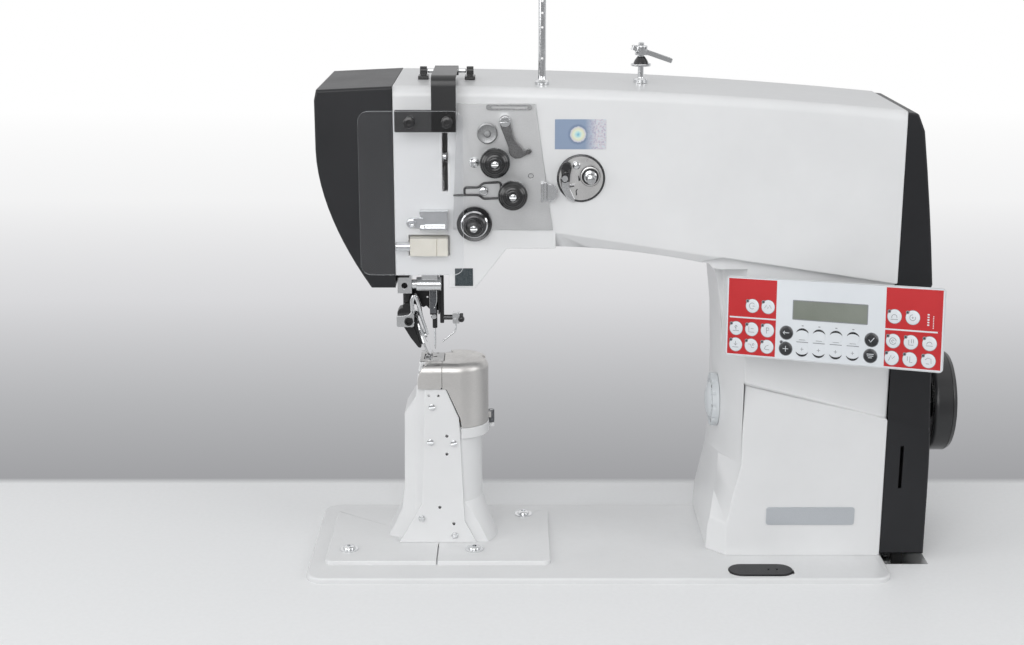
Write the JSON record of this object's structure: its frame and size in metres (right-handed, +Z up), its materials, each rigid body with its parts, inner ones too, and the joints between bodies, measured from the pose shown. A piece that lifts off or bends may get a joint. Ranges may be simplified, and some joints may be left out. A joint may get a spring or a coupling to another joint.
{
  "type": "post-bed industrial sewing machine head",
  "caption": "Post-bed lockstitch sewing machine head with roller foot, rotary hook in an upright post, handwheel, eye guard and tilting control panel, on a bed plate for a table cut-out.",
  "frame": {"origin": "on the plane of the bed flange's underside, which is the table surface, straight below the needle", "axes": "+X along the arm from the needle towards the handwheel, +Y away from the operator, +Z up"},
  "size_m": [0.5825, 0.26, 0.5494],
  "materials": {
    "white_enamel": "semi-gloss baked enamel",
    "black_plastic": "fine-grained satin",
    "white_plastic": "satin",
    "grey_plastic": "satin",
    "cream_plastic": "gloss",
    "black_metal": "blackened, satin",
    "brushed_steel": "brushed",
    "satin_steel": "satin",
    "chrome": "polished",
    "spring_steel": "bright wire",
    "label_aluminium": "satin",
    "bronze": "bored and reamed",
    "belt_rubber": "moulded",
    "clear_sheet": "clear, polished sheet",
    "keypad_foil": "printed, embossed film"
  },
  "bodies": {
    "machine": {"bed_casting": "white_enamel", "bed_bottom_cover": "black_plastic", "bed_inspection_cap": "black_metal", "arm_casting": "white_enamel", "head_cover": "black_plastic", "column_cover": "black_plastic", "arm_rear_cover": "white_enamel", "tension_plate": "brushed_steel", "tension_studs": "chrome", "tension_springs": "spring_steel", "blank_plates": "label_aluminium", "post_base_plate": "white_enamel", "post_casting": "white_enamel", "post_front_plate": "white_enamel", "post_plate_screws": "black_metal", "base_plate_screws": "chrome", "needle_plate": "chrome", "thread_posts": "chrome", "thread_guides": "chrome", "oil_block": "cream_plastic", "rocker_shaft": "chrome", "plain_bushes": "bronze", "winder_plate": "brushed_steel", "panel_bracket": "black_metal", "toothed_belts": "belt_rubber", "bobbin_case": "satin_steel", "presser_spring": "spring_steel", "eye_guard_hinge": "black_metal"},
    "drive": {"handwheel": "black_plastic", "drive_shaft": "satin_steel"},
    "arm_shaft": {"arm_shaft": "satin_steel"},
    "bed_shaft": {"bed_shaft": "satin_steel"},
    "hook": {"hook_shaft": "satin_steel", "rotary_hook": "chrome"},
    "bobbin": {"bobbin": "chrome"},
    "needle_bar": {"needle_bar": "chrome", "needle_clamp": "black_metal", "needle": "chrome"},
    "connecting_rod": {"connecting_rod": "satin_steel"},
    "take_up": {"take_up_lever": "chrome"},
    "presser": {"presser_bar": "chrome", "roller_arm": "chrome"},
    "roller": {"roller_wheel": "chrome"},
    "feed_wheel": {"feed_wheel": "satin_steel"},
    "edge_guide": {"edge_guide": "black_metal"},
    "knob_upper": {"tension_knob_upper": "black_plastic"},
    "knob_middle": {"tension_knob_middle": "black_plastic"},
    "knob_lower": {"tension_knob_lower": "black_plastic"},
    "check_lever": {"check_lever": "chrome"},
    "winder": {"winder_spindle": "chrome"},
    "winder_lever": {"winder_lever": "chrome"},
    "eye_guard": {"eye_guard": "clear_sheet", "eye_guard_bracket": "black_metal"},
    "hook_cover": {"hook_cover": "satin_steel"},
    "panel_knuckle": {"panel_knuckle": "black_metal"},
    "panel": {"panel_housing": "grey_plastic", "panel_foil": "keypad_foil"},
    "stitch_dial": {"stitch_dial": "white_plastic"},
    "top_guide": {"top_guide_arm": "chrome"}
  },
  "joints": [
    {"name": "handwheel_spin", "type": "hinge", "parent": "machine", "child": "drive", "pos_m": [0.45, 0.015, 0.134], "axis": [1, 0, 0], "continuous": true},
    {"name": "arm_shaft_spin", "type": "hinge", "parent": "machine", "child": "arm_shaft", "pos_m": [0.23, 0, 0.352], "axis": [1, 0, 0], "continuous": true},
    {"name": "bed_shaft_spin", "type": "hinge", "parent": "machine", "child": "bed_shaft", "pos_m": [0.24, 0, -0.022], "axis": [1, 0, 0], "continuous": true},
    {"name": "hook_spin", "type": "hinge", "parent": "machine", "child": "hook", "pos_m": [0.021, 0, 0.06], "axis": [0, 0, 1], "continuous": true},
    {"name": "bobbin_spin", "type": "hinge", "parent": "machine", "child": "bobbin", "pos_m": [0.021, 0, 0.157], "axis": [0, 0, 1], "continuous": true},
    {"name": "needle_bar_slide", "type": "slide", "parent": "machine", "child": "needle_bar", "axis": [0, 0, 1], "range_m": [-0.02471, 0.00929]},
    {"name": "connecting_rod_swing", "type": "hinge", "parent": "needle_bar", "child": "connecting_rod", "pos_m": [0.0079, 0, 0.30971], "axis": [1, 0, 0], "range_deg": [-0.91, 38.84]},
    {"name": "take_up_swing", "type": "hinge", "parent": "machine", "child": "take_up", "pos_m": [0.0127, -0.026, 0.366], "axis": [1, 0, 0], "range_deg": [-26, 49]},
    {"name": "presser_lift", "type": "slide", "parent": "machine", "child": "presser", "axis": [0, 0, 1], "range_m": [0, 0.009], "stiffness_N_per_m": 1500, "deforming": ["presser_spring"]},
    {"name": "feed_wheel_spin", "type": "hinge", "parent": "machine", "child": "feed_wheel", "pos_m": [-0.006, 0, 0.1658], "axis": [1, 0, 0], "continuous": true},
    {"name": "roller_spin", "type": "hinge", "parent": "presser", "child": "roller", "pos_m": [-0.01, 0, 0.19987], "axis": [0.9537, 0, 0.3007], "continuous": true},
    {"name": "edge_guide_swing", "type": "hinge", "parent": "machine", "child": "edge_guide", "pos_m": [0.0092, -0.001, 0.265], "axis": [0, 0, 1], "range_deg": [0, 60]},
    {"name": "tension_upper_turn", "type": "hinge", "parent": "machine", "child": "knob_upper", "pos_m": [0.0552, -0.071, 0.368], "axis": [0, 1, 0], "range_deg": [-360, 360]},
    {"name": "tension_middle_turn", "type": "hinge", "parent": "machine", "child": "knob_middle", "pos_m": [0.0702, -0.071, 0.3404], "axis": [0, 1, 0], "range_deg": [-360, 360]},
    {"name": "tension_lower_turn", "type": "hinge", "parent": "machine", "child": "knob_lower", "pos_m": [0.0374, -0.071, 0.3135], "axis": [0, 1, 0], "range_deg": [-360, 360]},
    {"name": "check_lever_swing", "type": "hinge", "parent": "machine", "child": "check_lever", "pos_m": [0.0636, -0.055, 0.402], "axis": [0, 1, 0], "range_deg": [-10, 12], "stiffness_Nm_per_rad": 0.03},
    {"name": "winder_spin", "type": "hinge", "parent": "machine", "child": "winder", "pos_m": [0.1357, -0.06, 0.3545], "axis": [0, 1, 0], "continuous": true},
    {"name": "winder_lever_swing", "type": "hinge", "parent": "machine", "child": "winder_lever", "pos_m": [0.1143, -0.054, 0.353], "axis": [0, 1, 0], "range_deg": [-15, 15]},
    {"name": "eye_guard_flip", "type": "hinge", "parent": "machine", "child": "eye_guard", "pos_m": [0.013, 0.008, 0.437], "axis": [1, 0, 0], "range_deg": [-95, 0]},
    {"name": "hook_cover_swing", "type": "hinge", "parent": "machine", "child": "hook_cover", "pos_m": [0.0503, 0.0102, 0.112], "axis": [0, 0, 1], "range_deg": [0, 105]},
    {"name": "panel_swivel", "type": "hinge", "parent": "machine", "child": "panel_knuckle", "pos_m": [0.35546, -0.07376, 0.2353], "axis": [0, 0, 1], "range_deg": [0, 50]},
    {"name": "panel_tilt", "type": "hinge", "parent": "panel_knuckle", "child": "panel", "pos_m": [0.34474, -0.09274, 0.23829], "axis": [0.8732, -0.4838, 0.0588], "range_deg": [-20, 20]},
    {"name": "stitch_dial_turn", "type": "hinge", "parent": "machine", "child": "stitch_dial", "pos_m": [0.256, 0.017, 0.134], "axis": [1, 0, 0], "range_deg": [-150, 150]},
    {"name": "top_guide_turn", "type": "hinge", "parent": "machine", "child": "top_guide", "pos_m": [0.1826, 0.02, 0.452], "axis": [0, 0, 1], "range_deg": [-60, 60]}
  ],
  "couplings": [
    {"joint": "arm_shaft_spin", "follows": "handwheel_spin", "ratio": 1},
    {"joint": "bed_shaft_spin", "follows": "handwheel_spin", "ratio": 1},
    {"joint": "hook_spin", "follows": "handwheel_spin", "ratio": -2},
    {"joint": "roller_spin", "follows": "feed_wheel_spin", "ratio": -0.7895}
  ]
}
